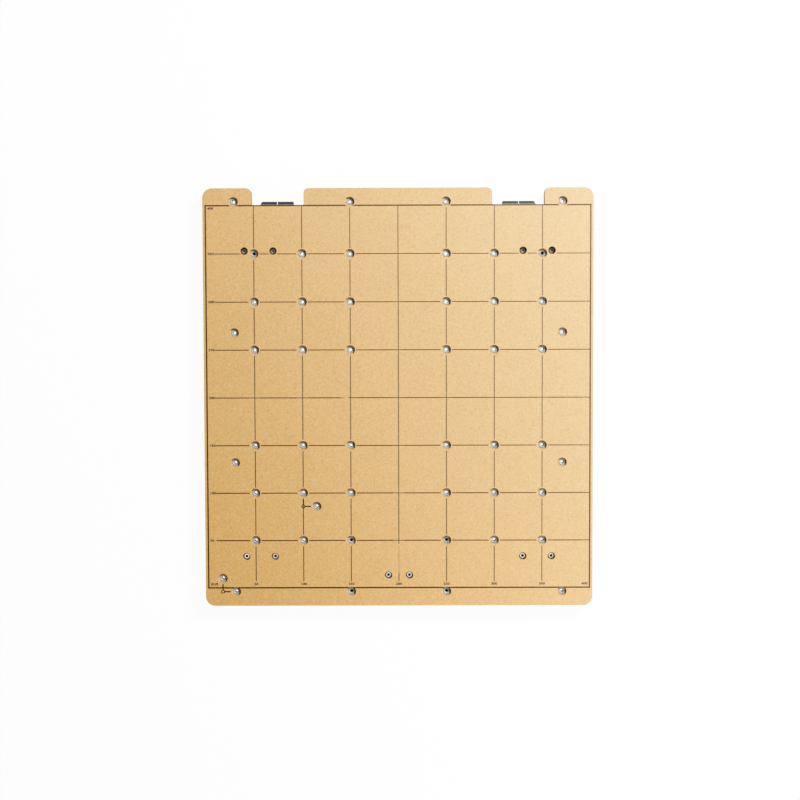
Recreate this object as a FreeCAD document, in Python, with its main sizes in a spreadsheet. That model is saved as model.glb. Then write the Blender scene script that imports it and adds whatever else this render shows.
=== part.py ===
import FreeCAD, Part
import os
import Sketcher

# Carving platform: a fibreboard work plate with threaded insert nuts and an engraved grid. Black steel plates
# are screwed to its underside, and their bent lips hook it on and stand on Z 0.
# X runs to the right, Y to the rear and Z up. Plan sizes are written from the middle of the grid, and each
# sub-part's Placement then brings the middle of the board to the origin.

doc = FreeCAD.newDocument("carving_platform")
sheet = doc.addObject("Spreadsheet::Sheet", "sizes")

# Driving dimensions, in millimetres
SIZES = {
    # Board and its two rear notches
    "grid_pitch": 50.0,
    "side_margin": 3.0,
    "front_margin": 19.0,
    "rear_margin": 18.0,
    "board_thick": 12.0,
    "corner_radius": 10.0,
    "notch_width": 54.5,
    "notch_floor_gap": 0.5,
    "notch_floor_radius": 1.0,
    "tab_radius": 6.0,
    "bay_radius": 5.0,
    # Engraved lines
    "line_width": 0.7,
    "border_width": 1.2,
    "line_depth": 0.3,
    "insert_clear": 12.0,
    "screw_clear": 11.2,
    "figure_room_x": 8.7,
    "figure_room_y": 6.7,
    "bare_stretch_low": 15.0,
    "bare_stretch_high": 46.0,
    "worn_gap_place": 56.0,
    "worn_gap_length": 8.0,
    "mark_arm": 14.0,
    "mark_line_width": 0.9,
    "mark_ring_outer": 4.1,
    "mark_ring_inner": 2.3,
    # Threaded insert nuts
    "insert_hole": 7.0,
    "insert_press_gap": 0.05,
    "insert_sink": 9.8,
    "insert_recess": 3.0,
    "insert_bore": 4.0,
    "edge_row_gap": 4.0,
    "edge_column_inset": 29.0,
    # Cap screws and their nuts
    "screw_size": 3.0,
    "screw_hole": 3.4,
    "head_diameter": 5.5,
    "head_height": 3.0,
    "head_sink": 4.5,
    "head_side_gap": 1.15,
    "socket_flats": 2.5,
    "socket_depth": 1.5,
    "screw_tail": 0.1,
    "nut_flats": 5.5,
    "nut_height": 2.4,
    "nut_thread_gap": 0.05,
    # Places of the screws
    "corner_pair_shift": 5.0,
    "corner_pair_spacing": 30.0,
    "rear_pair_rise": 3.0,
    "front_pair_drop": 17.0,
    "catch_pair_spacing": 22.0,
    "catch_pair_inset": 13.0,
    # Steel plates under the board
    "plate_thick": 2.0,
    "bend_radius": 1.0,
    "lip_drop": 8.0,
    "flange_edge": 7.0,
    "flange_half": 12.0,
    "plate_corner": 4.0,
    "hook_shift": 1.0,
    "hook_side_gap": 9.85,
    "hook_reach": 4.0,
    "hook_root": 3.0,
    "hook_slit": 1.3,
    "hook_outer_taper": 1.6,
    "hook_inner_taper": 0.8,
    "lip_corner": 2.0,
    "catch_cover": 5.0,
    "catch_lip_gap": 9.0,
}
for row, (alias, value) in enumerate(SIZES.items(), start=1):
    sheet.set(f"A{row}", alias)
    sheet.set(f"B{row}", str(value))
    sheet.setAlias(f"B{row}", alias)
doc.recompute()

# Places and levels that follow from the sizes
GRID_EDGE = "(4 * sizes.grid_pitch)"
BOARD_SIDE = f"({GRID_EDGE} + sizes.side_margin)"
BOARD_FRONT = f"(-1 * {GRID_EDGE} - sizes.front_margin)"
BOARD_REAR = f"({GRID_EDGE} + sizes.rear_margin)"
NOTCH_FLOOR = f"({GRID_EDGE} + sizes.notch_floor_gap)"
NOTCH_MIDDLE = "(2.5 * sizes.grid_pitch)"
NOTCH_OUTER = f"({NOTCH_MIDDLE} + sizes.notch_width / 2)"
NOTCH_INNER = f"({NOTCH_MIDDLE} - sizes.notch_width / 2)"
EDGE_ROW = f"({GRID_EDGE} + sizes.edge_row_gap)"
EDGE_COLUMN = f"({GRID_EDGE} - sizes.edge_column_inset)"
BOARD_BASE = "sizes.lip_drop"
BOARD_TOP = "(sizes.lip_drop + sizes.board_thick)"
HEAD_SEAT = f"({BOARD_TOP} - sizes.head_sink - sizes.head_height)"
PLATE_BASE = f"({BOARD_BASE} - sizes.plate_thick)"
NUT_BASE = f"({PLATE_BASE} - sizes.nut_height)"
SHANK_END = f"({NUT_BASE} - sizes.screw_tail)"
HOOK_LIP = f"({NOTCH_FLOOR} + sizes.hook_reach)"
HOOK_MIDDLE = f"({NOTCH_MIDDLE} + sizes.hook_shift)"
HOOK_OUTER = f"({HOOK_MIDDLE} + sizes.notch_width / 2 - sizes.hook_side_gap)"
HOOK_INNER = f"({HOOK_MIDDLE} - sizes.notch_width / 2 + sizes.hook_side_gap)"
BEND_OUTSIDE = "(sizes.bend_radius + sizes.plate_thick)"
CATCH_SIDE = "(sizes.grid_pitch + sizes.catch_cover)"
CATCH_REAR = "(-3 * sizes.grid_pitch + sizes.catch_cover)"
CATCH_LIP = f"(-1 * {EDGE_ROW} - sizes.catch_lip_gap)"
PAIR_MIDDLE = "(3 * sizes.grid_pitch - sizes.corner_pair_shift)"
REAR_PAIR = "(3 * sizes.grid_pitch + sizes.rear_pair_rise)"
FRONT_PAIR = "(-3 * sizes.grid_pitch - sizes.front_pair_drop)"
CATCH_PAIR = f"(-1 * {GRID_EDGE} + sizes.catch_pair_inset)"
GRID_SHIFT = "(sizes.front_margin - sizes.rear_margin) / 2"

# Insert nuts, as lists of places (x, y). The grid has one at every crossing except on its two middle lines
STEPS = (-3, -2, -1, 1, 2, 3)
EDGE_COLUMNS = (f"-1 * {EDGE_COLUMN}", "-1 * sizes.grid_pitch", "sizes.grid_pitch", EDGE_COLUMN)
INSERTS = {}
for order, row_step in enumerate(STEPS, start=1):
    INSERTS[f"inserts_row_{order}"] = [
        (f"{step} * sizes.grid_pitch", f"{row_step} * sizes.grid_pitch") for step in STEPS
    ]
INSERTS["inserts_rear_edge"] = [(x, EDGE_ROW) for x in EDGE_COLUMNS]
INSERTS["inserts_front_edge"] = [(x, f"-1 * {EDGE_ROW}") for x in EDGE_COLUMNS]
for side_name, side_sign in (("left", -1), ("right", 1)):
    INSERTS[f"inserts_{side_name}_edge"] = [
        (f"{side_sign} * {EDGE_COLUMN}", f"{end} * {EDGE_ROW} / 3") for end in (-1, 1)
    ]

# The two reference marks: a ring, with an arm to the right and an arm to the rear, each ending at an insert nut
CORNER_MARK = (f"(-1 * {EDGE_COLUMN} - sizes.mark_arm)", f"(-1 * {EDGE_ROW})")
INNER_MARK = ("(-2 * sizes.grid_pitch)", "(-2 * sizes.grid_pitch - sizes.mark_arm)")
INSERTS["reference_inserts"] = [
    (CORNER_MARK[0], f"{CORNER_MARK[1]} + sizes.mark_arm"),
    (f"{INNER_MARK[0]} + sizes.mark_arm", INNER_MARK[1]),
]


def pair(middle, spacing, y):
    """Two places in a line along X."""
    return [(f"{middle} + {end} * {spacing} / 2", y) for end in (-1, 1)]


def corner_pair(side, y):
    """The two screws of a corner plate, on the side given by -1 for left and 1 for right."""
    return pair(f"{side} * {PAIR_MIDDLE}", "sizes.corner_pair_spacing", y)


FASTENERS = {
    "rear": corner_pair(-1, REAR_PAIR) + corner_pair(1, REAR_PAIR),
    "front": corner_pair(-1, FRONT_PAIR) + corner_pair(1, FRONT_PAIR),
    "catch": pair("0", "sizes.catch_pair_spacing", CATCH_PAIR),
}


# Helpers


def number(expression):
    """The value of an expression over the sheet's cells."""
    return float(sheet.evalExpression(str(expression)))


def new_body(name):
    body = doc.addObject("PartDesign::Body", name)
    body.Label = name
    return body


def new_sketch(body, name, height):
    """A sketch parallel to the body's XY plane, at the given height."""
    sketch = body.newObject("Sketcher::SketchObject", name)
    plane = next(feature for feature in body.Origin.OriginFeatures if feature.Role == "XY_Plane")
    sketch.AttachmentSupport = [(plane, "")]
    sketch.MapMode = "FlatFace"
    sketch.setExpression("AttachmentOffset.Base.z", height)
    return sketch


def drive(sketch, constraint, expression):
    index = sketch.addConstraint(constraint)
    sketch.setExpression(f"Constraints[{index}]", expression)


def pin_point(sketch, geometry, point, place):
    """Holds a point of the sketch at a place (x, y), measured from the sketch's origin."""
    for kind, expression in zip(("DistanceX", "DistanceY"), place):
        constraint = Sketcher.Constraint(kind, -1, 1, geometry, point, number(expression))
        drive(sketch, constraint, expression)


def draw_circle(sketch, place, diameter):
    middle = FreeCAD.Vector(number(place[0]), number(place[1]), 0)
    up = FreeCAD.Vector(0, 0, 1)
    circle = sketch.addGeometry(Part.Circle(middle, up, number(diameter) / 2), False)
    drive(sketch, Sketcher.Constraint("Diameter", circle, number(diameter)), diameter)
    pin_point(sketch, circle, 3, place)


def draw_outline(sketch, places):
    """A closed outline of straight lines through the places."""
    corners = [FreeCAD.Vector(number(x), number(y), 0) for x, y in places]
    lines = [
        sketch.addGeometry(Part.LineSegment(start, end), False)
        for start, end in zip(corners, corners[1:] + corners[:1])
    ]
    for order, place in enumerate(places):
        sketch.addConstraint(Sketcher.Constraint("Coincident", lines[order - 1], 2, lines[order], 1))
        pin_point(sketch, lines[order], 1, place)


def draw_rectangle(sketch, low, high):
    draw_outline(sketch, [low, (high[0], low[1]), high, (low[0], high[1])])


def draw_hexagon(sketch, place, flats):
    """A hexagon of the given size across its flats, with a corner towards the rear."""
    reach = f"{flats} / sqrt(3)"
    draw_outline(
        sketch,
        [
            (f"{place[0]} + {reach} * cos({turn} deg)", f"{place[1]} + {reach} * sin({turn} deg)")
            for turn in range(30, 390, 60)
        ],
    )


def pad(body, sketch, name, length):
    feature = body.newObject("PartDesign::Pad", name)
    feature.Profile = sketch
    feature.setExpression("Length", length)
    doc.recompute()
    return feature


def pocket(body, sketch, name, depth=None):
    """A cut downwards from the sketch, right through where no depth is given."""
    feature = body.newObject("PartDesign::Pocket", name)
    feature.Profile = sketch
    if depth is None:
        feature.Type = "ThroughAll"
    else:
        feature.setExpression("Length", depth)
    doc.recompute()
    return feature


def dress_edges(body, kind, name, size, chosen):
    """A Fillet or Chamfer of the given size on the edges of the body that chosen accepts."""
    base = body.Tip
    edges = [f"Edge{order}" for order, edge in enumerate(base.Shape.Edges, start=1) if chosen(edge)]
    feature = body.newObject(f"PartDesign::{kind}", name)
    feature.Base = (base, edges)
    feature.setExpression("Radius" if kind == "Fillet" else "Size", size)
    doc.recompute()
    return feature


def close(first, second):
    return abs(first - second) < 0.001


def upright_at(places):
    """Accepts the upright edges that stand at the places."""
    wanted = [(number(x), number(y)) for x, y in places]

    def accepts(edge):
        box = edge.BoundBox
        upright = box.XLength < 0.001 and box.YLength < 0.001
        return upright and any(close(box.XMin, x) and close(box.YMin, y) for x, y in wanted)

    return accepts


def along_x_at(y, z):
    """Accepts the edges that run along X at the given y and z."""
    level, height = number(y), number(z)

    def accepts(edge):
        box = edge.BoundBox
        straight = box.YLength < 0.001 and box.ZLength < 0.001
        return straight and close(box.YMin, level) and close(box.ZMin, height)

    return accepts


def mirrored(side, places):
    """The places on the side given by -1 for left and 1 for right."""
    return [(f"{side} * {x}", y) for x, y in places]


# Board


def board_outline():
    """The board's corners, from the front left one, counterclockwise."""
    right_half = [
        (BOARD_SIDE, BOARD_FRONT),
        (BOARD_SIDE, BOARD_REAR),
        (NOTCH_OUTER, BOARD_REAR),
        (NOTCH_OUTER, NOTCH_FLOOR),
        (NOTCH_INNER, NOTCH_FLOOR),
        (NOTCH_INNER, BOARD_REAR),
    ]
    return right_half + mirrored(-1, right_half)[::-1]


def board_blank():
    """The bare board: outline with its notches, rounded corners, sunk insert holes and sunk screw holes."""
    body = new_body("board_blank")
    outline = new_sketch(body, "board_outline", BOARD_BASE)
    draw_outline(outline, board_outline())
    pad(body, outline, "board_panel", "sizes.board_thick")

    rounds = {
        "corner_radius": [(BOARD_SIDE, BOARD_FRONT), (BOARD_SIDE, BOARD_REAR)],
        "tab_radius": [(NOTCH_OUTER, BOARD_REAR)],
        "bay_radius": [(NOTCH_INNER, BOARD_REAR)],
        "notch_floor_radius": [(NOTCH_OUTER, NOTCH_FLOOR), (NOTCH_INNER, NOTCH_FLOOR)],
    }
    for radius, places in rounds.items():
        both_sides = places + mirrored(-1, places)
        dress_edges(body, "Fillet", f"board_{radius}", f"sizes.{radius}", upright_at(both_sides))

    insert_holes = new_sketch(body, "insert_holes", BOARD_TOP)
    insert_sinks = new_sketch(body, "insert_sinks", BOARD_TOP)
    for places in INSERTS.values():
        for place in places:
            draw_circle(insert_holes, place, "sizes.insert_hole")
            draw_circle(insert_sinks, place, "sizes.insert_sink")
    pocket(body, insert_holes, "insert_hole_pocket")
    pocket(body, insert_sinks, "insert_sink_pocket", "sizes.insert_recess")

    screw_holes = new_sketch(body, "screw_holes", BOARD_TOP)
    sunk_heads = new_sketch(body, "sunk_heads", BOARD_TOP)
    for places in FASTENERS.values():
        for place in places:
            draw_circle(screw_holes, place, "sizes.screw_hole")
            draw_circle(sunk_heads, place, "sizes.head_diameter + 2 * sizes.head_side_gap")
    pocket(body, screw_holes, "screw_hole_pocket")
    pocket(body, sunk_heads, "sunk_head_pocket", f"{BOARD_TOP} - {HEAD_SEAT}")
    return body


# Engraving


def place_tool(tool, x, y):
    """Sets an engraving tool on the floor of the engraving, standing out above the board."""
    tool.setExpression("Height", "2 * sizes.line_depth")
    tool.setExpression("Placement.Base.x", x)
    tool.setExpression("Placement.Base.y", y)
    tool.setExpression("Placement.Base.z", f"{BOARD_TOP} - sizes.line_depth")
    return tool


def strip(name, low, high):
    """One engraved line, as a bar between two opposite corners."""
    bar = doc.addObject("Part::Box", name)
    bar.setExpression("Length", f"({high[0]}) - ({low[0]})")
    bar.setExpression("Width", f"({high[1]}) - ({low[1]})")
    return place_tool(bar, low[0], low[1])


def disc(name, place, diameter):
    round_tool = doc.addObject("Part::Cylinder", name)
    round_tool.setExpression("Radius", f"{diameter} / 2")
    return place_tool(round_tool, place[0], place[1])


def line_along_x(name, y, start, end, width="sizes.line_width"):
    return strip(name, (start, f"{y} - {width} / 2"), (end, f"{y} + {width} / 2"))


def line_along_y(name, x, start, end, width="sizes.line_width"):
    return strip(name, (f"{x} - {width} / 2", start), (f"{x} + {width} / 2", end))


def joined(name, tools):
    union = doc.addObject("Part::MultiFuse", name)
    union.Shapes = tools
    return union


def cut_from(name, base, tool):
    result = doc.addObject("Part::Cut", name)
    result.Base = base
    result.Tool = tool
    return result


def grid_lines():
    """The inner lines. All leave room for the figures at the border, and the middle one a bare stretch in front."""
    front = f"-1 * {GRID_EDGE} + sizes.figure_room_y"
    left = f"-1 * {GRID_EDGE} + sizes.figure_room_x"
    bare_low = f"-1 * {GRID_EDGE} + sizes.bare_stretch_low"
    bare_high = f"-1 * {GRID_EDGE} + sizes.bare_stretch_high"
    worn_left = "-1 * sizes.worn_gap_place - sizes.worn_gap_length / 2"
    worn_right = "-1 * sizes.worn_gap_place + sizes.worn_gap_length / 2"
    lines = [
        line_along_y("middle_line_front", "0", front, bare_low),
        line_along_y("middle_line_rear", "0", bare_high, GRID_EDGE),
        line_along_x("middle_line_left", "0", left, worn_left),
        line_along_x("middle_line_right", "0", worn_right, GRID_EDGE),
    ]
    for order, step in enumerate(STEPS, start=1):
        lines.append(line_along_y(f"upright_line_{order}", f"{step} * sizes.grid_pitch", front, GRID_EDGE))
        lines.append(line_along_x(f"level_line_{order}", f"{step} * sizes.grid_pitch", left, GRID_EDGE))
    return lines


def border_line(name, draw, place):
    """One side of the border, long enough to close its corners."""
    half = "sizes.border_width / 2"
    return draw(name, place, f"-1 * {GRID_EDGE} - {half}", f"{GRID_EDGE} + {half}", "sizes.border_width")


def mark_arms(name, mark):
    """The two arms of a reference mark, from the middle of its ring's stroke to the middle of the insert nut."""
    start = "(sizes.mark_ring_outer + sizes.mark_ring_inner) / 4"
    width = "sizes.mark_line_width"
    return [
        line_along_x(f"{name}_arm_x", mark[1], f"{mark[0]} + {start}", f"{mark[0]} + sizes.mark_arm", width),
        line_along_y(f"{name}_arm_y", mark[0], f"{mark[1]} + {start}", f"{mark[1]} + sizes.mark_arm", width),
    ]


def mark_ring(name, mark):
    outer = disc(f"{name}_outer", mark, "sizes.mark_ring_outer")
    inner = disc(f"{name}_inner", mark, "sizes.mark_ring_inner")
    return cut_from(name, outer, inner)


def engraving():
    """Everything that is engraved. All but the front border line stops short of the insert nuts and screws."""
    lines = grid_lines()
    lines.append(border_line("left_border", line_along_y, f"-1 * {GRID_EDGE}"))
    lines.append(border_line("right_border", line_along_y, GRID_EDGE))
    lines.append(border_line("rear_border", line_along_x, GRID_EDGE))
    lines += mark_arms("corner_mark", CORNER_MARK)
    lines += mark_arms("inner_mark", INNER_MARK)

    clearings = []
    for name, places in INSERTS.items():
        for order, place in enumerate(places, start=1):
            clearings.append(disc(f"{name}_clear_{order}", place, "sizes.insert_clear"))
    for name, places in FASTENERS.items():
        for order, place in enumerate(places, start=1):
            clearings.append(disc(f"{name}_screw_clear_{order}", place, "sizes.screw_clear"))

    runs = cut_from("line_runs", joined("lines", lines), joined("clearings", clearings))
    return joined(
        "engraving",
        [
            runs,
            border_line("front_border", line_along_x, f"-1 * {GRID_EDGE}"),
            mark_ring("corner_ring", CORNER_MARK),
            mark_ring("inner_ring", INNER_MARK),
        ],
    )


# Insert nuts and fasteners


def insert_nuts(name, places):
    """Plain barrels pressed into the board, from its underside up to the floors of their sunk holes."""
    body = new_body(name)
    rings = new_sketch(body, f"{name}_rings", BOARD_BASE)
    for place in places:
        draw_circle(rings, place, "sizes.insert_hole - 2 * sizes.insert_press_gap")
        draw_circle(rings, place, "sizes.insert_bore")
    pad(body, rings, f"{name}_barrels", "sizes.board_thick - sizes.insert_recess")
    return body


def cap_screws(name, places):
    """Socket head cap screws, their heads on the floors of the sunk holes."""
    body = new_body(name)
    heads = new_sketch(body, f"{name}_head_sketch", HEAD_SEAT)
    shanks = new_sketch(body, f"{name}_shank_sketch", SHANK_END)
    sockets = new_sketch(body, f"{name}_socket_sketch", f"{HEAD_SEAT} + sizes.head_height")
    for place in places:
        draw_circle(heads, place, "sizes.head_diameter")
        draw_circle(shanks, place, "sizes.screw_size")
        draw_hexagon(sockets, place, "sizes.socket_flats")
    pad(body, heads, f"{name}_heads", "sizes.head_height")
    pad(body, shanks, f"{name}_shanks", f"{HEAD_SEAT} - {SHANK_END}")
    pocket(body, sockets, f"{name}_sockets", "sizes.socket_depth")
    return body


def hexagon_nuts(name, places):
    """Nuts against the underside of the steel plates."""
    body = new_body(name)
    sections = new_sketch(body, f"{name}_sections", NUT_BASE)
    for place in places:
        draw_hexagon(sections, place, "sizes.nut_flats")
        draw_circle(sections, place, "sizes.screw_size + 2 * sizes.nut_thread_gap")
    pad(body, sections, f"{name}_blocks", "sizes.nut_height")
    return body


# Steel plates


def flat_plate(body, outline, round_corners):
    """The flat of a plate, against the underside of the board."""
    sketch = new_sketch(body, f"{body.Name}_outline", PLATE_BASE)
    draw_outline(sketch, outline)
    pad(body, sketch, f"{body.Name}_flat", "sizes.plate_thick")
    dress_edges(body, "Fillet", f"{body.Name}_corners", "sizes.plate_corner", upright_at(round_corners))


def bent_lip(body, left, right, outer_face, towards):
    """A lip bent down to Z 0 from the plate's edge, facing the rear where towards is 1, the front where it is -1."""
    inner_face = f"{outer_face} - {towards} * sizes.plate_thick"
    sketch = new_sketch(body, f"{body.Name}_lip_outline", "0")
    draw_rectangle(sketch, (left, inner_face), (right, outer_face))
    pad(body, sketch, f"{body.Name}_lip", "sizes.lip_drop")
    bends = (
        ("outer_bend", BEND_OUTSIDE, along_x_at(outer_face, BOARD_BASE)),
        ("inner_bend", "sizes.bend_radius", along_x_at(inner_face, PLATE_BASE)),
    )
    for bend, radius, chosen in bends:
        dress_edges(body, "Fillet", f"{body.Name}_{bend}", radius, chosen)


def lip_corners(body):
    """Takes off the lower corners at the two ends of the lip."""
    box = body.Tip.Shape.BoundBox
    lip = [vertex.X for vertex in body.Tip.Shape.Vertexes if close(vertex.Z, 0)]
    ends = (min(lip), max(lip))

    def accepts(edge):
        span = edge.BoundBox
        low_level = close(span.ZMin, box.ZMin) and close(span.ZMax, box.ZMin)
        across = span.YLength > 0.9 * number("sizes.plate_thick") and span.XLength < span.YLength
        return low_level and across and (close(span.XMin, ends[0]) or close(span.XMax, ends[1]))

    dress_edges(body, "Chamfer", f"{body.Name}_lip_corners", "sizes.lip_corner", accepts)


def plate_holes(body, places):
    sketch = new_sketch(body, f"{body.Name}_holes", BOARD_BASE)
    for place in places:
        draw_circle(sketch, place, "sizes.screw_hole")
    pocket(body, sketch, f"{body.Name}_hole_pocket")


def rear_hook(name, side):
    """A gusset plate under the board, with a slit hook lip that shows in the rear notch."""
    flange_front = f"{REAR_PAIR} - sizes.flange_half"
    flange_rear = f"{REAR_PAIR} + sizes.flange_half"
    flange_side = f"({PAIR_MIDDLE} + sizes.corner_pair_spacing / 2 + sizes.flange_edge)"
    root = f"{NOTCH_FLOOR} - sizes.hook_root"
    outline = [
        (HOOK_INNER, flange_front),
        (flange_side, flange_front),
        (flange_side, flange_rear),
        (HOOK_OUTER, root),
        (HOOK_OUTER, HOOK_LIP),
        (HOOK_INNER, HOOK_LIP),
    ]
    body = new_body(name)
    flat_plate(body, mirrored(side, outline), mirrored(side, outline[:3]))
    bent_lip(body, f"{side} * {HOOK_OUTER}", f"{side} * {HOOK_INNER}", HOOK_LIP, 1)

    bend_start = f"{HOOK_LIP} - {BEND_OUTSIDE}"
    relief = new_sketch(body, f"{name}_relief", BOARD_BASE)
    slit = [
        (f"({HOOK_MIDDLE} - sizes.hook_slit / 2)", bend_start),
        (f"({HOOK_MIDDLE} + sizes.hook_slit / 2)", bend_start),
        (f"({HOOK_MIDDLE} + sizes.hook_slit / 2)", HOOK_LIP),
        (f"({HOOK_MIDDLE} - sizes.hook_slit / 2)", HOOK_LIP),
    ]
    outer_end = [
        (HOOK_OUTER, bend_start),
        (HOOK_OUTER, HOOK_LIP),
        (f"({HOOK_OUTER} - sizes.hook_outer_taper)", HOOK_LIP),
    ]
    inner_end = [
        (HOOK_INNER, bend_start),
        (HOOK_INNER, HOOK_LIP),
        (f"({HOOK_INNER} + sizes.hook_inner_taper)", HOOK_LIP),
    ]
    for shape in (slit, outer_end, inner_end):
        draw_outline(relief, mirrored(side, shape))
    pocket(body, relief, f"{name}_relief_pocket")
    lip_corners(body)
    plate_holes(body, corner_pair(side, REAR_PAIR))
    return body


def front_catch(name):
    """A wide plate under the middle of the front edge, with a lip for the machine's latch."""
    left = f"-1 * {CATCH_SIDE}"
    outline = [(left, CATCH_LIP), (CATCH_SIDE, CATCH_LIP), (CATCH_SIDE, CATCH_REAR), (left, CATCH_REAR)]
    body = new_body(name)
    flat_plate(body, outline, outline[2:])
    bent_lip(body, left, CATCH_SIDE, CATCH_LIP, -1)
    lip_corners(body)
    plate_holes(body, FASTENERS["catch"])
    return body


def front_pad(name, side):
    """A plain seat plate under a front corner, in line with the flange of the rear hook."""
    reach = "(sizes.corner_pair_spacing / 2 + sizes.flange_edge)"
    middle = f"{side} * {PAIR_MIDDLE}"
    outline = [
        (f"{middle} - {reach}", f"{FRONT_PAIR} - sizes.flange_half"),
        (f"{middle} + {reach}", f"{FRONT_PAIR} - sizes.flange_half"),
        (f"{middle} + {reach}", f"{FRONT_PAIR} + sizes.flange_half"),
        (f"{middle} - {reach}", f"{FRONT_PAIR} + sizes.flange_half"),
    ]
    body = new_body(name)
    flat_plate(body, outline, outline)
    plate_holes(body, corner_pair(side, FRONT_PAIR))
    return body


# Assembly

sub_parts = []


def add_sub_part(sub_part):
    sub_part.Label = sub_part.Name
    sub_part.setExpression("Placement.Base.y", GRID_SHIFT)
    sub_parts.append(sub_part)


add_sub_part(cut_from("wasteboard", board_blank(), engraving()))
for group_name, group_places in INSERTS.items():
    add_sub_part(insert_nuts(group_name, group_places))
for group_name, group_places in FASTENERS.items():
    add_sub_part(cap_screws(f"{group_name}_screws", group_places))
    add_sub_part(hexagon_nuts(f"{group_name}_nuts", group_places))
for side_name, side_sign in (("left", -1), ("right", 1)):
    add_sub_part(rear_hook(f"rear_hook_{side_name}", side_sign))
    add_sub_part(front_pad(f"front_pad_{side_name}", side_sign))
add_sub_part(front_catch("front_catch"))
doc.recompute()

for item in doc.Objects:
    if "Invalid" in item.State or "Error" in item.State:
        raise RuntimeError(f"{item.Label} failed: {item.State}")
for sub_part in sub_parts:
    if sub_part.Shape.isNull() or not sub_part.Shape.isValid() or not sub_part.Shape.Solids:
        raise RuntimeError(f"{sub_part.Label} has no valid solid")

os.makedirs("parts", exist_ok=True)
for sub_part in sub_parts:
    sub_part.Shape.exportStep(f"parts/{sub_part.Label}.step")
    print(sub_part.Label, len(sub_part.Shape.Solids), "solids", round(sub_part.Shape.Volume, 1), "mm3")
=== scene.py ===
import math

import bmesh
import bpy
from mathutils import Matrix, Vector


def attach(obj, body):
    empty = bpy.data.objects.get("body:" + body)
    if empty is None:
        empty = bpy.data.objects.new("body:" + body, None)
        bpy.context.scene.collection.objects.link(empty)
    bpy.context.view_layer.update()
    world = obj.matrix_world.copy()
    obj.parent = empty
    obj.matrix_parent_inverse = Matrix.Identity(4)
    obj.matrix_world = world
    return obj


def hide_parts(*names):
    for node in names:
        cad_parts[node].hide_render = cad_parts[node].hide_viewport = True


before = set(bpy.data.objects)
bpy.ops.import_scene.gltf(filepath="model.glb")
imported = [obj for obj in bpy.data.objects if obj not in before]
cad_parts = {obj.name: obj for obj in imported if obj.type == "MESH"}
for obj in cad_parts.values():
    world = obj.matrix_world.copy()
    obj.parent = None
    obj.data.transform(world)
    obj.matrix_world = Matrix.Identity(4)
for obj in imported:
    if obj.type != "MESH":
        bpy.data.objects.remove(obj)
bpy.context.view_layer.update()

# Sizes in metres, as the part's source has them
MM = 0.001
PITCH = 50 * MM
GRID_EDGE = 4 * PITCH
GRID_SHIFT = 0.5 * MM
BOARD_TOP = 20 * MM
BOARD_BASE = 8 * MM
LINE_DEPTH = 0.3 * MM
INSERT_TOP = 17 * MM
INSERT_RADIUS = 3.45 * MM
BORE_RADIUS = 2.0 * MM
INSERT_CLEAR = 6 * MM
EDGE_ROW = GRID_EDGE + 4 * MM
EDGE_COLUMN = GRID_EDGE - 29 * MM
MARK_ARM = 14 * MM
MARK_RING = 1.6 * MM
NOTCH_FLOOR = GRID_EDGE + 0.5 * MM + GRID_SHIFT
HEAD_SEAT = 12.5 * MM
HEAD_HEIGHT = 3 * MM
HEAD_RADIUS = 2.75 * MM
SOCKET_FLATS = 2.5 * MM
SOCKET_DEPTH = 1.5 * MM
SHANK_RADIUS = 1.5 * MM
SHANK_END = 3.5 * MM
NUT_BASE = 3.6 * MM
NUT_HEIGHT = 2.4 * MM
NUT_FLATS = 5.5 * MM
PAIR_MIDDLE = 3 * PITCH - 5 * MM
PAIR_HALF = 15 * MM
CATCH_HALF = 11 * MM
REAR_PAIR = 3 * PITCH + 3 * MM
FRONT_PAIR = -3 * PITCH - 17 * MM
CATCH_PAIR = -GRID_EDGE + 13 * MM

# Sizes of what is only here: the insert nuts' threads, the marks' broad arms and the figures
THREAD_CREST = 1.65 * MM
THREAD_PITCH = 0.7 * MM
THREAD_TURNS = 11
THREAD_STEPS = 20
MARK_STROKE = 1.25 * MM
FIGURE_HEIGHT = 2.3 * MM
FIGURE_WIDENING = 1.30
FIGURE_BOLDNESS = 0.10 * MM
CAPITAL_SHARE = 0.70

# Rounding of a turned piece, and the angle up to which its faces look smooth
ROUND_STEPS = 48
INSERT_STEPS = 32
SMOOTH_BELOW = math.radians(35)


# Camera, at the photograph's place

PHOTO_LENS = 83.25
CAMERA_PLACE = (0.0123, 0.12335, 1.9476)
CAMERA_RIGHT = (0.99998, -0.0030, -0.00534)
CAMERA_UP = (0.00264, 0.99789, -0.0649)


def make_camera():
    """The camera, turned by its right and up directions."""
    data = bpy.data.cameras.new("photo_camera")
    data.sensor_width = 36
    data.lens = PHOTO_LENS
    data.clip_start = 0.01
    data.clip_end = 50
    camera = bpy.data.objects.new("photo_camera", data)
    right = Vector(CAMERA_RIGHT).normalized()
    back = right.cross(Vector(CAMERA_UP)).normalized()
    up = back.cross(right)
    turn = Matrix((right, up, back)).transposed()
    camera.matrix_world = Matrix.Translation(CAMERA_PLACE) @ turn.to_4x4()
    bpy.context.scene.collection.objects.link(camera)
    bpy.context.scene.camera = camera


make_camera()


# Shader building


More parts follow.
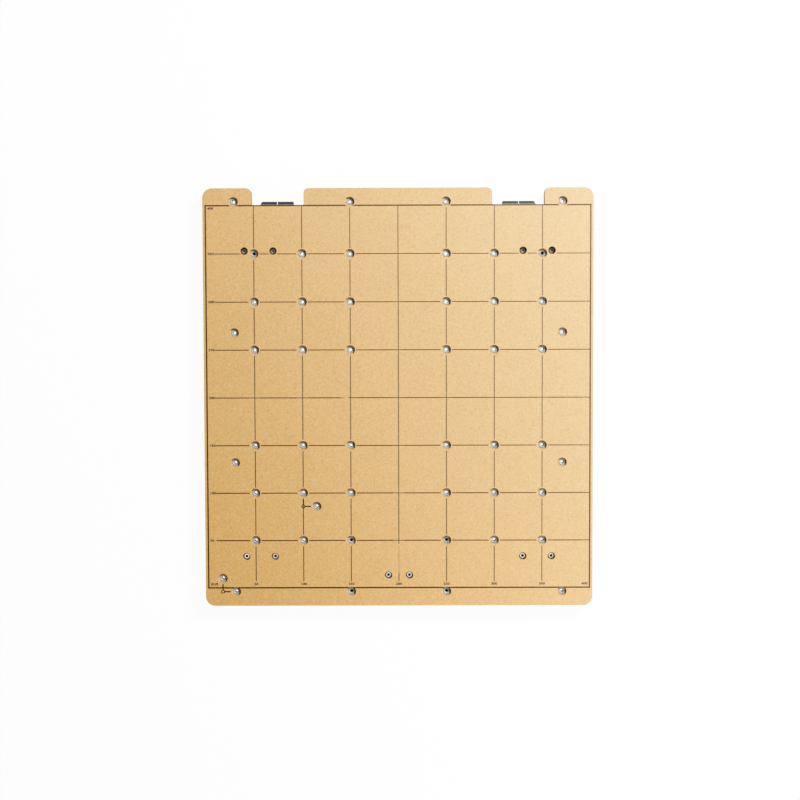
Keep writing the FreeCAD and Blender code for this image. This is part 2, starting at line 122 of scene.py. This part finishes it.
class Signal:
    """A socket whose numbers are worked on with Python's own operators."""

    def __init__(self, finish, socket):
        self.finish = finish
        self.socket = socket

    def math(self, operation, *values, clamp=False):
        settings = {"operation": operation, "use_clamp": clamp}
        return self.finish.node("ShaderNodeMath", settings, dict(enumerate(values)))

    def __add__(self, other):
        return self.math("ADD", self, other)

    def __radd__(self, other):
        return self.math("ADD", other, self)

    def __sub__(self, other):
        return self.math("SUBTRACT", self, other)

    def __rsub__(self, other):
        return self.math("SUBTRACT", other, self)

    def __mul__(self, other):
        return self.math("MULTIPLY", self, other)

    def __rmul__(self, other):
        return self.math("MULTIPLY", other, self)

    def __truediv__(self, other):
        return self.math("DIVIDE", self, other)

    def held(self):
        """The number held between 0 and 1."""
        return self.math("ADD", self, 0.0, clamp=True)

    def between(self, low, high):
        """0 below low, 1 above high, and smooth from one to the other."""
        settings = {"interpolation_type": "SMOOTHSTEP"}
        sockets = {"Value": self, "From Min": low, "From Max": high}
        return self.finish.node("ShaderNodeMapRange", settings, sockets)

    def from_lines(self, spacing):
        """The distance to the nearest of evenly spaced lines, one of them at 0."""
        return self.math("PINGPONG", self, spacing / 2)

    def size(self):
        """The number without its sign."""
        return self.math("ABSOLUTE", self)


class Finish:
    """One material, built from nodes."""

    def __init__(self, name, kind="ShaderNodeBsdfPrincipled"):
        self.material = bpy.data.materials.new(name)
        self.material.use_nodes = True
        self.tree = self.material.node_tree
        self.tree.nodes.clear()
        self.output = self.tree.nodes.new("ShaderNodeOutputMaterial")
        self.shader = None
        if kind:
            self.shader = self.tree.nodes.new(kind)
            self.tree.links.new(self.shader.outputs[0], self.output.inputs["Surface"])
        self.place = self.node("ShaderNodeTexCoord", output="Object")

    @classmethod
    def on_tree(cls, tree):
        """The same methods on a tree that is there already, such as the world's."""
        finish = cls.__new__(cls)
        finish.tree = tree
        return finish

    def node(self, kind, settings=None, sockets=None, output=0):
        """Adds a node: its settings first, then its sockets' values or links. Gives one of its outputs."""
        made = self.tree.nodes.new(kind)
        for key, value in (settings or {}).items():
            setattr(made, key, value)
        for key, value in (sockets or {}).items():
            self.feed(made.inputs[key], value)
        return Signal(self, made.outputs[output])

    def feed(self, socket, value):
        if isinstance(value, Signal):
            self.tree.links.new(value.socket, socket)
        else:
            socket.default_value = value

    def set(self, **sockets):
        """Sets the shader's own sockets. An underscore stands for a space."""
        for key, value in sockets.items():
            self.feed(self.shader.inputs[key.replace("_", " ")], value)

    def noise(self, scale, detail=2.0, vector=None):
        sockets = {"Vector": vector or self.place, "Scale": scale, "Detail": detail}
        return self.node("ShaderNodeTexNoise", None, sockets)

    def mix(self, factor, first, second):
        """A colour between two colours."""
        settings = {"data_type": "RGBA"}
        return self.node("ShaderNodeMix", settings, {0: factor, 6: first, 7: second}, output=2)

    def axis(self, name):
        """One of the object coordinates."""
        return self.node("ShaderNodeSeparateXYZ", None, {"Vector": self.place}, output=name)

    def stretched(self, scale, turn=(0, 0, 0)):
        """Object coordinates turned first and then scaled, which the node does in its texture mode."""
        sockets = {"Vector": self.place, "Rotation": turn, "Scale": [1 / share for share in scale]}
        return self.node("ShaderNodeMapping", {"vector_type": "TEXTURE"}, sockets)

    def bump(self, height, strength, distance):
        sockets = {"Height": height, "Strength": strength, "Distance": distance}
        self.feed(self.shader.inputs["Normal"], self.node("ShaderNodeBump", None, sockets))


# Finishes

WARM_BOARD = (0.870, 0.468, 0.089, 1)
# The pale colour at the rear right is partly a painted sheen
PALE_SHEENED_BOARD = (0.717, 0.562, 0.348, 1)
DARK_FIBRE = (0.52, 0.31, 0.13, 1)
LIGHT_FIBRE = (0.90, 0.72, 0.46, 1)
CUT_EDGE = (0.47, 0.285, 0.125, 1)
CUT_EDGE_PALE = (0.60, 0.39, 0.19, 1)
SCORCHED = (0.42, 0.19, 0.045, 1)
MILLED = (0.56, 0.42, 0.24, 1)
MILLED_PALE = (0.70, 0.55, 0.34, 1)
BURNT = (0.040, 0.012, 0.003, 1)
BURNT_PALE = (0.240, 0.135, 0.055, 1)
# The black coat, then its paler tone painted where the lamps at the right light it; then a painted highlight
# for the bend out of the notch, at its left and right ends
COAT = (0.009, 0.008, 0.007, 1)
COAT_LIT = (0.046, 0.044, 0.040, 1)
BEND_HIGHLIGHT = (0.19, 0.18, 0.155, 1)
BEND_HIGHLIGHT_LIT = (0.31, 0.30, 0.25, 1)

# How the board's colour drifts towards its rear right corner, partly its own tone and partly a painted sheen
# where the lamps at the right light it most: along X, along Y, and at the middle
TONE_AND_SHEEN_ALONG_X = 1.22
TONE_AND_SHEEN_ALONG_Y = 0.64
TONE_AND_SHEEN_MIDDLE = 0.60

# Directions of the fibres, in degrees
FIBRE_LANES = (10, 70, 130)


def fibres(finish, scale):
    """Short fibres that lie in three directions, from 0 to 1."""
    lanes = []
    for degrees in FIBRE_LANES:
        lane = finish.stretched((1.0, 4.5, 1.0), (0, 0, math.radians(degrees)))
        lanes.append(finish.noise(scale, detail=1.0, vector=lane))
    return (lanes[0] + lanes[1] + lanes[2]) / len(lanes)


def scorched_fibres(finish):
    """1 beside the engraved grid and border lines, 0 a little away from them."""
    x = finish.axis("X")
    y = finish.axis("Y") - GRID_SHIFT
    from_x_line = x.from_lines(PITCH)
    from_y_line = y.from_lines(PITCH)
    reach_x = x.size()
    reach_y = y.size()

    def inner(from_line, from_crossing, reach, start, end):
        """Along the grid's lines, outside the clear spaces of the insert nuts and the figures."""
        beside = 1 - from_line.between(start, end)
        clear = from_crossing.between(INSERT_CLEAR - 0.2 * MM, INSERT_CLEAR + 0.2 * MM)
        return beside * (clear * (1 - reach.between(GRID_EDGE - 9 * MM, GRID_EDGE - 8 * MM)))

    def outer(from_line, reach, within):
        """Along two sides of the border."""
        beside = 1 - from_line.between(0.60 * MM, 1.05 * MM)
        return beside * reach.between(GRID_EDGE - 3 * MM, GRID_EDGE - 2 * MM) * within

    within_x = 1 - reach_x.between(GRID_EDGE + 0.8 * MM, GRID_EDGE + 1.1 * MM)
    within_y = 1 - reach_y.between(GRID_EDGE + 0.8 * MM, GRID_EDGE + 1.1 * MM)
    columns = inner(from_x_line, from_y_line, reach_y, 0.35 * MM, 0.85 * MM)
    rows = inner(from_y_line, from_x_line, reach_x, 0.40 * MM, 0.90 * MM) * (1.25 - y * 3.5)
    border = outer(from_x_line, reach_x, within_y) + outer(from_y_line, reach_y, within_x)
    on_top = finish.axis("Z").between(BOARD_TOP - 1 * MM, BOARD_TOP - 0.5 * MM)
    return ((columns * 0.8 + rows) * within_x * within_y + border) * on_top


def board_face_finish():
    """Smooth fibreboard, paler towards the rear right corner: partly its own tone, partly a painted sheen
    where the lamps at the right light it most.
    """
    finish = Finish("fibreboard_face")
    blotches = finish.noise(14, detail=3)
    clouds = finish.noise(60, detail=3)
    tone_and_sheen = finish.axis("X") * TONE_AND_SHEEN_ALONG_X + finish.axis("Y") * TONE_AND_SHEEN_ALONG_Y + TONE_AND_SHEEN_MIDDLE
    tone_and_sheen = tone_and_sheen + (blotches - 0.5) * 0.10
    ground = finish.mix(tone_and_sheen.held(), WARM_BOARD, PALE_SHEENED_BOARD)
    speckle = fibres(finish, 420)
    # The fibres' speckle is painted fainter where the painted sheen lightens the board
    strength = 0.80 - tone_and_sheen.held() * 0.44
    dark = (1 - speckle.between(0.36, 0.49)) * strength + (0.5 - clouds) * 0.18
    shaded = finish.mix(dark.held(), ground, DARK_FIBRE)
    fibred = finish.mix(speckle.between(0.53, 0.66) * strength * 0.9, shaded, LIGHT_FIBRE)
    # The scorch beside the lines is also painted fainter under the painted sheen
    browned = scorched_fibres(finish) * (0.85 - tone_and_sheen * 0.75)
    colour = finish.mix(browned.held(), fibred, SCORCHED)
    finish.set(Base_Color=colour, Roughness=0.62 + (clouds - 0.5) * 0.12, Specular_IOR_Level=0.35)
    finish.bump(speckle, 0.12, 0.0002)
    return finish.material


def board_edge_finish():
    """The board's cut sides, with the loose core between two dense skins."""
    finish = Finish("fibreboard_edge")
    depth = (finish.axis("Z") - (BOARD_TOP + BOARD_BASE) / 2) / ((BOARD_TOP - BOARD_BASE) / 2)
    skin = depth.size().between(0.55, 1.0)
    layers = finish.noise(300, detail=3, vector=finish.stretched((1, 1, 4)))
    tufts = finish.noise(900, detail=2)
    pale = (layers - 0.5) * 1.3 + (tufts - 0.5) * 0.9 + 0.5
    colour = finish.mix((pale - skin * 0.35).held(), CUT_EDGE, CUT_EDGE_PALE)
    finish.set(Base_Color=colour, Roughness=0.82, Specular_IOR_Level=0.25)
    finish.bump(layers * 0.6 + tufts * 0.4, 0.45, 0.0004)
    return finish.material


def milled_finish():
    """The pale, slightly fluffy walls and floors of the sunk holes."""
    finish = Finish("milled_fibre")
    tufts = finish.noise(900, detail=2)
    colour = finish.mix(tufts.between(0.35, 0.65), MILLED, MILLED_PALE)
    finish.set(Base_Color=colour, Roughness=0.9, Specular_IOR_Level=0.1)
    finish.bump(tufts, 0.4, 0.0002)
    return finish.material


def burnt_finish():
    """The scorched floor and sides of the engraving, darkest at the front left and painted paler towards the
    rear right with the same painted sheen as the board's face.
    """
    finish = Finish("burnt_engraving")
    char = finish.noise(220, detail=3)
    grain = finish.noise(1500, detail=1)
    # Painted sheen: paler towards the rear right, where the lamps light the board most
    sheen_fading = finish.axis("X") * 1.9 + finish.axis("Y") * 1.3
    colour = finish.mix((char * 0.6 + grain * 0.4 - 0.15 + sheen_fading).held(), BURNT, BURNT_PALE)
    finish.set(Base_Color=colour, Roughness=0.85, Specular_IOR_Level=0.03)
    finish.bump(grain, 0.4, 0.0001)
    return finish.material


def metal_finish(name, dark, light, rough, bare=1.0):
    """Bare or plated metal with fine tool marks and a little staining. A dull film makes it less bare."""
    finish = Finish(name)
    stains = finish.noise(220, detail=3)
    marks = finish.noise(600, detail=2, vector=finish.stretched((1, 1, 6)))
    colour = finish.mix((stains * 0.7 + marks * 0.3).between(0.32, 0.62), dark, light)
    metallic = bare if bare == 1.0 else bare + (stains - 0.5) * 0.3
    finish.set(Base_Color=colour, Metallic=metallic, Roughness=rough + (marks - 0.5) * 0.10)
    finish.bump(marks, 0.10, 0.00005)
    return finish.material


def coat_finish():
    """Black powder coat with its fine orange peel, painted paler towards the right where the lamps light it,
    and a painted highlight on the bend where it leaves the notch.
    """
    finish = Finish("black_powder_coat")
    peel = finish.noise(1100, detail=1)
    coat_mottle = finish.noise(70, detail=4)
    y = finish.axis("Y")
    # Painted highlight: a pale band where the plate bends out of the notch
    starts = y.between(NOTCH_FLOOR - 1 * MM, NOTCH_FLOOR)
    ends = y.between(NOTCH_FLOOR + 1.0 * MM, NOTCH_FLOOR + 1.7 * MM)
    # Painted light: the coat and the band paler towards the right, where the lamps stand
    lit_towards_right = (finish.axis("X") * 4 + 0.5 + (coat_mottle - 0.5) * 0.5).held()
    coat = finish.mix(lit_towards_right, COAT, COAT_LIT)
    highlight_band = finish.mix(lit_towards_right, BEND_HIGHLIGHT, BEND_HIGHLIGHT_LIT)
    colour = finish.mix(starts * (1 - ends), coat, highlight_band)
    finish.set(Base_Color=colour, Roughness=0.50 + (coat_mottle - 0.5) * 0.16, Specular_IOR_Level=0.4)
    finish.bump(peel, 0.35, 0.00012)
    return finish.material


BOARD_FACE = board_face_finish()
BOARD_EDGE = board_edge_finish()
MILLED_HOLE = milled_finish()
BURNT_LINE = burnt_finish()
ZINC = metal_finish(
    "zinc_plate", (0.40, 0.40, 0.40, 1), (0.56, 0.56, 0.55, 1), 0.50, bare=0.15
)
BRIGHT_STEEL = metal_finish(
    "bright_steel", (0.70, 0.69, 0.68, 1), (0.93, 0.92, 0.91, 1), 0.20
)
# The rear screws' heads and sockets: darker and browner than the front ones, less bare and rougher
DARK_REAR_STEEL = metal_finish(
    "dark_rear_steel", (0.16, 0.135, 0.11, 1), (0.34, 0.29, 0.24, 1), 0.50, bare=0.25
)
# Painted shade: the sockets' faces nearly black, for the shade deep inside them
PAINTED_SOCKET_SHADE = metal_finish(
    "painted_socket_shade", (0.020, 0.019, 0.018, 1), (0.060, 0.056, 0.052, 1), 0.60, bare=0.5
)
NUT_ZINC = metal_finish(
    "nut_zinc", (0.46, 0.46, 0.48, 1), (0.74, 0.74, 0.76, 1), 0.34
)
BLACK_COAT = coat_finish()


# Shape helpers


def to_mesh(bm, name):
    """Writes the bmesh to a new mesh."""
    mesh = bpy.data.meshes.new(name)
    bm.to_mesh(mesh)
    bm.free()
    return mesh


def in_scene(name, data):
    """A new object in the scene."""
    made = bpy.data.objects.new(name, data)
    bpy.context.scene.collection.objects.link(made)
    return made


def worked_out(made):
    """The object's mesh with its modifiers applied. The object itself is taken away."""
    bpy.context.view_layer.update()
    seen = made.evaluated_get(bpy.context.evaluated_depsgraph_get())
    mesh = bpy.data.meshes.new_from_object(seen)
    bpy.data.objects.remove(made)
    return mesh


def new_piece(name, bm, materials, node):
    """Makes the finished piece from a bmesh. It stands for the CAD node and rides on the one body."""
    for edge in bm.edges:
        edge.smooth = len(edge.link_faces) == 2 and edge.calc_face_angle(0.0) < SMOOTH_BELOW
    for face in bm.faces:
        face.smooth = True
    mesh = to_mesh(bm, name)
    for material in materials:
        mesh.materials.append(material)
    piece = in_scene(name, mesh)
    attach(piece, "root")
    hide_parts(node)
    return piece


def cad_copy(node):
    """A merged copy of a CAD node's mesh."""
    bm = bmesh.new()
    bm.from_mesh(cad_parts[node].data)
    bmesh.ops.remove_doubles(bm, verts=bm.verts, dist=0.001 * MM)
    for face in bm.faces:
        face.material_index = 0
    return bm


def add_mesh(bm, mesh):
    """Adds a mesh to the bmesh, and gives the vertices that came with it."""
    before = set(bm.verts)
    bm.from_mesh(mesh)
    return [vert for vert in bm.verts if vert not in before]


def add_copies(bm, pattern, places):
    """Adds the pattern's mesh at each place (x, y)."""
    for x, y in places:
        bmesh.ops.translate(bm, verts=add_mesh(bm, pattern), vec=(x, y + GRID_SHIFT, 0))


def ring_of(bm, radius, height, steps=ROUND_STEPS, start=0.0):
    """A closed ring of edges. Gives its edges."""
    made = bmesh.ops.create_circle(bm, segments=steps, radius=radius, cap_ends=False)["verts"]
    turn = Matrix.Rotation(start, 4, "Z")
    bmesh.ops.transform(bm, matrix=Matrix.Translation((0, 0, height)) @ turn, verts=made)
    return list({edge for vert in made for edge in vert.link_edges})


def hexagon_of(bm, flats, height):
    """A closed hexagon with a corner on the Y axis, with the same number of edges as the rings."""
    edges = ring_of(bm, flats / math.sqrt(3), height, start=math.radians(90))
    half_flats = flats / 2
    for vert in {vert for edge in edges for vert in edge.verts}:
        bearing = math.atan2(vert.co.y, vert.co.x)
        from_flat = (bearing + math.radians(30)) % math.radians(60) - math.radians(30)
        reach = half_flats / math.cos(from_flat)
        vert.co.x = reach * math.cos(bearing)
        vert.co.y = reach * math.sin(bearing)
    return edges


def bridged(bm, loops, closed=False):
    """Joins the loops one after another, and gives the faces. They stand apart meanwhile: flat pairs twist."""
    heights = {}
    for order, loop in enumerate(loops):
        for vert in {vert for edge in loop for vert in edge.verts}:
            heights[vert] = vert.co.z
            vert.co.z = order * 10 * MM
    faces = []
    for first, second in zip(loops, loops[1:] + (loops[:1] if closed else [])):
        faces += bmesh.ops.bridge_loops(bm, edges=first + second)["faces"]
    for vert, height in heights.items():
        vert.co.z = height
    return faces


def as_pattern(bm, name):
    """A mesh to copy from, with its faces pointing outwards."""
    bmesh.ops.recalc_face_normals(bm, faces=bm.faces)
    return to_mesh(bm, name)


# Board


def figure(cutter, text, place, height, anchor="CENTER"):
    """Adds one engraved figure to the cutter, with its middle or its left or right end at the place."""
    curve = bpy.data.curves.new("figure", "FONT")
    curve.body = text
    curve.size = height / CAPITAL_SHARE
    curve.align_x = anchor
    curve.align_y = "CENTER"
    curve.resolution_u = 3
    curve.offset = FIGURE_BOLDNESS
    curve.extrude = LINE_DEPTH
    added = add_mesh(cutter, worked_out(in_scene("figure", curve)))
    bmesh.ops.scale(cutter, vec=(FIGURE_WIDENING, 1, 1), verts=added)
    move = (place[0], place[1] + GRID_SHIFT, BOARD_TOP)
    bmesh.ops.translate(cutter, verts=added, vec=move)


def mark_arms(cutter, place):
    """Adds the two broad arms of a reference mark, as far as the clear space of their insert nuts."""
    start, end = MARK_RING, MARK_ARM - INSERT_CLEAR
    for along, across in ((0, 1), (1, 0)):
        bar = bmesh.ops.create_cube(cutter, size=1.0)["verts"]
        size = [0, 0, 1.96 * LINE_DEPTH]
        size[along], size[across] = end - start, MARK_STROKE
        middle = [place[0], place[1] + GRID_SHIFT, BOARD_TOP]
        middle[along] += (start + end) / 2
        bmesh.ops.scale(cutter, vec=size, verts=bar)
        bmesh.ops.translate(cutter, vec=middle, verts=bar)


def engraving_cutter():
    """The arms of the reference marks, and every plain number along the front and left borders."""
    cutter = bmesh.new()
    edge = -GRID_EDGE
    level = edge + 3.9 * MM
    figure(cutter, "(0,0)", (edge + 2.2 * MM, level), FIGURE_HEIGHT, "LEFT")
    for step in range(1, 8):
        text = str(50 * step)
        figure(cutter, text, (edge + step * PITCH, level), FIGURE_HEIGHT)
        figure(cutter, text, (edge + 2.0 * MM, edge + step * PITCH), FIGURE_HEIGHT, "LEFT")
    figure(cutter, "400", (-edge - 2.0 * MM, level), FIGURE_HEIGHT, "RIGHT")
    figure(cutter, "400", (edge + 2.0 * MM, -edge - 3.0 * MM), FIGURE_HEIGHT, "LEFT")
    bmesh.ops.remove_doubles(cutter, verts=cutter.verts, dist=0.0005 * MM)
    mark_arms(cutter, (-EDGE_COLUMN - MARK_ARM, -EDGE_ROW))
    mark_arms(cutter, (-2 * PITCH, -2 * PITCH - MARK_ARM))
    bmesh.ops.recalc_face_normals(cutter, faces=cutter.faces)
    return cutter


def hole_places():
    """The middle of every sunk hole in the board."""
    places = [place for group in insert_places().values() for place in group]
    places += corner_pairs(REAR_PAIR) + corner_pairs(FRONT_PAIR) + catch_pair()
    return [(x, y + GRID_SHIFT) for x, y in places]


# Places of the board's finishes on its mesh
FACE, EDGE, LINE, HOLE = range(4)
HOLE_REACH = 5.2 * MM


def finish_of(face, holes):
    """Which finish a face of the board has, by its height, its slope and the sunk holes near it."""
    middle = face.calc_center_median()
    under_lines = BOARD_TOP - 1.2 * LINE_DEPTH
    if under_lines < middle.z < BOARD_TOP - 0.05 * LINE_DEPTH:
        return LINE
    inside = BOARD_BASE + 0.05 * MM < middle.z < under_lines
    if inside and any(math.hypot(middle.x - x, middle.y - y) < HOLE_REACH for x, y in holes):
        return HOLE
    return EDGE if abs(face.normal.z) < 0.5 else FACE


def make_board():
    """The board with its figures engraved. Faces, cut edges, lines and holes each have their own finish."""
    base = in_scene("board_base", to_mesh(cad_copy("wasteboard"), "board_base"))
    cutter = in_scene("engraving_cutter", to_mesh(engraving_cutter(), "engraving_cutter"))
    cut = base.modifiers.new("engraving", "BOOLEAN")
    cut.operation = "DIFFERENCE"
    cut.solver = "EXACT"
    cut.use_self = True
    cut.object = cutter
    bm = bmesh.new()
    bm.from_mesh(worked_out(base))
    bpy.data.objects.remove(cutter)
    holes = hole_places()
    for face in bm.faces:
        face.material_index = finish_of(face, holes)
    finishes = (BOARD_FACE, BOARD_EDGE, BURNT_LINE, MILLED_HOLE)
    return new_piece("work_board", bm, finishes, "wasteboard")


# Insert nuts


def insert_pattern():
    """A plated barrel with a lead-in, and the ridge of its thread."""
    bm = bmesh.new()
    outline = (
        (BORE_RADIUS, BOARD_BASE + 0.5 * MM),
        (BORE_RADIUS + 0.45 * MM, BOARD_BASE),
        (INSERT_RADIUS - 0.30 * MM, BOARD_BASE),
        (INSERT_RADIUS, BOARD_BASE + 0.3 * MM),
        (INSERT_RADIUS, INSERT_TOP - 0.35 * MM),
        (INSERT_RADIUS - 0.06 * MM, INSERT_TOP - 0.20 * MM),
        (INSERT_RADIUS - 0.20 * MM, INSERT_TOP - 0.06 * MM),
        (INSERT_RADIUS - 0.35 * MM, INSERT_TOP),
        (BORE_RADIUS + 0.35 * MM, INSERT_TOP),
        (BORE_RADIUS, INSERT_TOP - 0.35 * MM),
    )
    loops = [ring_of(bm, radius, height, INSERT_STEPS) for radius, height in outline]
    bridged(bm, loops, closed=True)

    low = BOARD_BASE + 0.55 * MM
    root = BORE_RADIUS + 0.04 * MM
    corners = ((root, -0.30 * MM), (THREAD_CREST, -0.05 * MM), (THREAD_CREST, 0.05 * MM), (root, 0.30 * MM))
    section = [bm.verts.new((radius, 0, low + rise)) for radius, rise in corners]
    start_cap = bm.faces.new(section)
    bmesh.ops.spin(
        bm,
        geom=[start_cap],
        cent=(0, 0, 0),
        axis=(0, 0, 1),
        dvec=(0, 0, THREAD_PITCH / THREAD_STEPS),
        angle=2 * math.pi * THREAD_TURNS,
        steps=THREAD_TURNS * THREAD_STEPS,
        use_duplicate=False,
    )
    return as_pattern(bm, "insert_pattern")


def insert_places():
    """Where each group of insert nuts is, as the part's source has it."""
    steps = (-3, -2, -1, 1, 2, 3)
    columns = (-EDGE_COLUMN, -PITCH, PITCH, EDGE_COLUMN)
    places = {
        f"inserts_row_{order}": [(step * PITCH, level * PITCH) for step in steps]
        for order, level in enumerate(steps, start=1)
    }
    places["inserts_rear_edge"] = [(x, EDGE_ROW) for x in columns]
    places["inserts_front_edge"] = [(x, -EDGE_ROW) for x in columns]
    places["inserts_left_edge"] = [(-EDGE_COLUMN, end * EDGE_ROW / 3) for end in (-1, 1)]
    places["inserts_right_edge"] = [(EDGE_COLUMN, end * EDGE_ROW / 3) for end in (-1, 1)]
    places["reference_inserts"] = [
        (-EDGE_COLUMN - MARK_ARM, -EDGE_ROW + MARK_ARM),
        (-2 * PITCH + MARK_ARM, -2 * PITCH - MARK_ARM),
    ]
    return places


def make_inserts():
    """One piece for each group of insert nuts."""
    pattern = insert_pattern()
    for node, places in insert_places().items():
        bm = bmesh.new()
        add_copies(bm, pattern, places)
        new_piece(f"{node}_threaded", bm, (ZINC,), node)


# Cap screws and nuts


def screw_pattern():
    """A socket head cap screw with a rounded rim, a hexagon socket and a chamfered end."""
    bm = bmesh.new()
    top = HEAD_SEAT + HEAD_HEIGHT
    floor = top - SOCKET_DEPTH
    socket_mouth = hexagon_of(bm, SOCKET_FLATS, top - 0.12 * MM)
    socket_foot = hexagon_of(bm, SOCKET_FLATS, floor)
    rim = ring_of(bm, SOCKET_FLATS / math.sqrt(3) + 0.10 * MM, top)
    outer = (
        (HEAD_RADIUS - 0.20 * MM, top),
        (HEAD_RADIUS - 0.05 * MM, top - 0.06 * MM),
        (HEAD_RADIUS, top - 0.20 * MM),
        (HEAD_RADIUS, HEAD_SEAT + 0.15 * MM),
        (HEAD_RADIUS - 0.15 * MM, HEAD_SEAT),
        (SHANK_RADIUS, HEAD_SEAT),
        (SHANK_RADIUS, SHANK_END + 0.25 * MM),
        (SHANK_RADIUS - 0.25 * MM, SHANK_END),
    )
    loops = [ring_of(bm, radius, height) for radius, height in outer]
    bridged(bm, [rim] + loops)
    inside = bridged(bm, [socket_foot, socket_mouth, rim])
    for loop in (socket_foot, loops[-1]):
        cap = bmesh.ops.contextual_create(bm, geom=loop)["faces"]
        inside += cap if loop is socket_foot else []
    bmesh.ops.recalc_face_normals(bm, faces=bm.faces)
    # The socket's faces get the second finish, which on the front screws is a painted shade
    for face in inside:
        face.material_index = 1
    return as_pattern(bm, "screw_pattern")


def nut_pattern():
    """A hexagon nut with its corners turned off."""
    bm = bmesh.new()
    top = NUT_BASE + NUT_HEIGHT
    bore = SHANK_RADIUS + 0.05 * MM
    turned = NUT_FLATS / 2 * 0.97
    slope = math.tan(math.radians(30))

    def cut_corners(loop, direction):
        for vert in {vert for edge in loop for vert in edge.verts}:
            reach = math.hypot(vert.co.x, vert.co.y)
            vert.co.z += direction * max(0.0, reach - turned) * slope

    low = hexagon_of(bm, NUT_FLATS, NUT_BASE)
    high = hexagon_of(bm, NUT_FLATS, top)
    cut_corners(low, 1)
    cut_corners(high, -1)
    loops = [
        ring_of(bm, bore, NUT_BASE + 0.4 * MM),
        ring_of(bm, bore + 0.3 * MM, NUT_BASE),
        ring_of(bm, turned, NUT_BASE),
        low,
        high,
        ring_of(bm, turned, top),
        ring_of(bm, bore, top),
    ]
    bridged(bm, loops, closed=True)
    return as_pattern(bm, "nut_pattern")


def corner_pairs(level):
    """The four screws at the two corners, in one line along X."""
    middles = (-PAIR_MIDDLE, PAIR_MIDDLE)
    return [(middle + end * PAIR_HALF, level) for middle in middles for end in (-1, 1)]


def catch_pair():
    """The two screws in the middle of the front edge."""
    return [(-CATCH_HALF, CATCH_PAIR), (CATCH_HALF, CATCH_PAIR)]


def make_fasteners():
    """The screws and their nuts, each group with the finishes of its heads and sockets; the rear heads are
    darker and browner than the front ones, and the front sockets are painted nearly black for the shade deep
    inside them.
    """
    groups = {
        "rear": (corner_pairs(REAR_PAIR), (DARK_REAR_STEEL, DARK_REAR_STEEL)),
        "front": (corner_pairs(FRONT_PAIR), (BRIGHT_STEEL, PAINTED_SOCKET_SHADE)),
        "catch": (catch_pair(), (BRIGHT_STEEL, PAINTED_SOCKET_SHADE)),
    }
    screw = screw_pattern()
    nut = nut_pattern()
    for name, (places, finishes) in groups.items():
        screws = bmesh.new()
        add_copies(screws, screw, places)
        new_piece(f"{name}_cap_screws", screws, finishes, f"{name}_screws")
        nuts = bmesh.new()
        add_copies(nuts, nut, places)
        new_piece(f"{name}_hex_nuts", nuts, (NUT_ZINC,), f"{name}_nuts")


# Steel plates


def make_plates():
    """The plates with their edges slightly rounded by the coat."""
    for node in ("rear_hook_left", "rear_hook_right", "front_pad_left", "front_pad_right", "front_catch"):
        bm = cad_copy(node)
        bmesh.ops.dissolve_limit(bm, angle_limit=math.radians(0.5), verts=bm.verts, edges=bm.edges)
        plate = new_piece(f"{node}_coated", bm, (BLACK_COAT,), node)
        rounding = plate.modifiers.new("coat_rounding", "BEVEL")
        rounding.width = 0.25 * MM
        rounding.segments = 2
        rounding.limit_method = "ANGLE"
        rounding.angle_limit = math.radians(50)
        rounding.use_clamp_overlap = True


make_board()
make_inserts()
make_fasteners()
make_plates()


# Floor, light and surroundings


FILL_LIGHT = 0.06
WHITE_SHARE = 0.96
FLOOR_HALF = 6
FLOOR_LEVEL = -0.2 * MM


def seen_directly(finish):
    """1 for rays that show the background: from the camera, a reflection or through glass."""
    rays = finish.tree.nodes.new("ShaderNodeLightPath")
    names = ("Is Camera Ray", "Is Glossy Ray", "Is Transmission Ray")
    seen = [Signal(finish, rays.outputs[name]) for name in names]
    return (seen[0] + seen[1] + seen[2]).held()


def make_floor():
    """A pale floor that the camera and reflections see as white, with the board's shadow on it."""
    finish = Finish("pale_floor", kind=None)
    diffuse = finish.node("ShaderNodeBsdfDiffuse", None, {"Color": (0.93, 0.93, 0.93, 1)})
    white = finish.node("ShaderNodeEmission", None, {"Color": (1, 1, 1, 1), "Strength": 1.0})
    share = seen_directly(finish) * WHITE_SHARE
    mixed = finish.node("ShaderNodeMixShader", None, {0: share, 1: diffuse, 2: white})
    finish.feed(finish.output.inputs["Surface"], mixed)
    bm = bmesh.new()
    bmesh.ops.create_grid(bm, x_segments=1, y_segments=1, size=FLOOR_HALF)
    bmesh.ops.translate(bm, verts=bm.verts, vec=(0, 0, FLOOR_LEVEL))
    floor = in_scene("floor", to_mesh(bm, "floor"))
    floor.data.materials.append(finish.material)


def make_lamp(name, place, size, power):
    """A square soft box that faces the middle of the board."""
    data = bpy.data.lights.new(name, "AREA")
    data.shape = "SQUARE"
    data.size = size
    data.energy = power
    lamp = in_scene(name, data)
    lamp.location = place
    lamp.rotation_mode = "QUATERNION"
    lamp.rotation_quaternion = (-Vector(place)).to_track_quat("-Z", "Y")


def make_surroundings():
    """A world that fills the shade a little, and is white where it is seen."""
    world = bpy.data.worlds.new("studio")
    world.use_nodes = True
    tree = world.node_tree
    tree.nodes.clear()
    output = tree.nodes.new("ShaderNodeOutputWorld")
    studio = Finish.on_tree(tree)
    fill = studio.node("ShaderNodeBackground", None, {"Color": (1, 1, 1, 1), "Strength": FILL_LIGHT})
    white = studio.node("ShaderNodeBackground", None, {"Color": (1, 1, 1, 1), "Strength": 1.0})
    mixed = studio.node("ShaderNodeMixShader", None, {0: seen_directly(studio), 1: fill, 2: white})
    studio.feed(output.inputs["Surface"], mixed)
    bpy.context.scene.world = world


make_floor()
make_surroundings()
make_lamp("rear_right_soft_box", (0.90, 1.09, 1.33), 0.28, 41)
make_lamp("front_right_soft_box", (0.48, -0.58, 0.55), 0.20, 2.6)
bpy.context.scene.view_settings.view_transform = "Standard"
